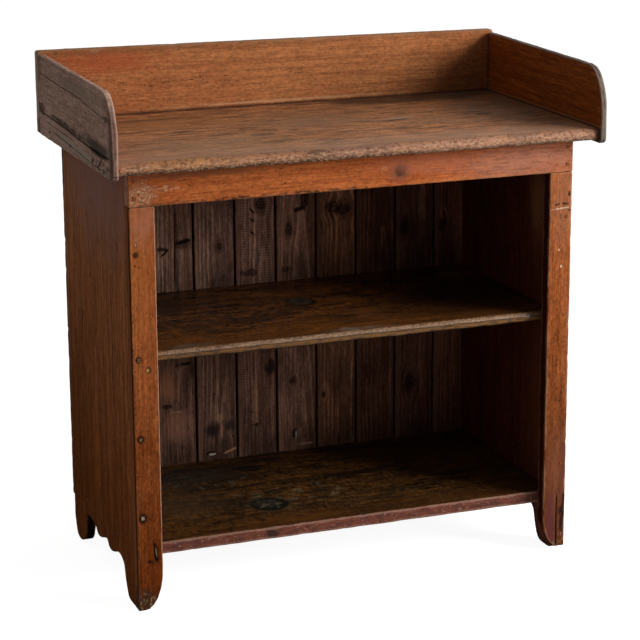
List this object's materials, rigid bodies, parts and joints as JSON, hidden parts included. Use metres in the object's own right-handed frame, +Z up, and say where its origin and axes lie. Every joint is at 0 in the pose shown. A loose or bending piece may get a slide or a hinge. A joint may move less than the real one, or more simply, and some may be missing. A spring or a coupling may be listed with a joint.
{
  "type": "bucket bench cabinet",
  "caption": "Open pine bench cupboard with a bullnosed counter, a gallery round three sides, open shelves, a slatted back and scalloped feet.",
  "frame": {"origin": "on the floor, under the middle of the whole object", "axes": "+X to the right along the front, +Y from front to back, +Z up"},
  "size_m": [1.0052, 0.5512, 1.027],
  "materials": {
    "face_frame": "old orange-brown stained pine, waxed and worn",
    "side_boards": "dark brown stained pine with upright grain",
    "counter": "brown pine, scratched and rubbed grey",
    "gallery": "orange-brown pine, weathered grey outside",
    "shelves": "dark pine with worn front edges",
    "back_boards": "dark grey-brown sawn boards",
    "iron_nails": "dark rusted iron"
  },
  "bodies": {
    "root": {"back_board_01": "back_boards", "back_board_02": "back_boards", "back_board_03": "back_boards", "back_board_04": "back_boards", "back_board_05": "back_boards", "back_board_06": "back_boards", "back_board_07": "back_boards", "back_board_08": "back_boards", "back_board_09": "back_boards", "back_board_10": "back_boards", "back_rail": "back_boards", "counter_nail_left_1": "iron_nails", "counter_nail_left_2": "iron_nails", "counter_nail_right_1": "iron_nails", "counter_nail_right_2": "iron_nails", "counter_top": "counter", "floor_board": "shelves", "floor_board_nail_left_1": "iron_nails", "floor_board_nail_left_2": "iron_nails", "floor_board_nail_right_1": "iron_nails", "floor_board_nail_right_2": "iron_nails", "gallery_back": "gallery", "gallery_back_nail_left_1": "iron_nails", "gallery_back_nail_left_2": "iron_nails", "gallery_back_nail_right_1": "iron_nails", "gallery_back_nail_right_2": "iron_nails", "gallery_end_left": "gallery", "gallery_end_left_nail_1": "iron_nails", "gallery_end_left_nail_2": "iron_nails", "gallery_end_left_nail_3": "iron_nails", "gallery_end_right": "gallery", "gallery_end_right_nail_1": "iron_nails", "gallery_end_right_nail_2": "iron_nails", "gallery_end_right_nail_3": "iron_nails", "middle_shelf": "shelves", "middle_shelf_nail_left_1": "iron_nails", "middle_shelf_nail_left_2": "iron_nails", "middle_shelf_nail_right_1": "iron_nails", "middle_shelf_nail_right_2": "iron_nails", "rail_nail_left_1": "iron_nails", "rail_nail_left_2": "iron_nails", "rail_nail_right_1": "iron_nails", "rail_nail_right_2": "iron_nails", "side_left": "side_boards", "side_right": "side_boards", "stile_left": "face_frame", "stile_nail_left_1": "iron_nails", "stile_nail_left_2": "iron_nails", "stile_nail_left_3": "iron_nails", "stile_nail_left_4": "iron_nails", "stile_nail_right_1": "iron_nails", "stile_nail_right_2": "iron_nails", "stile_nail_right_3": "iron_nails", "stile_nail_right_4": "iron_nails", "stile_right": "face_frame", "top_rail": "face_frame"}
  },
  "joints": []
}
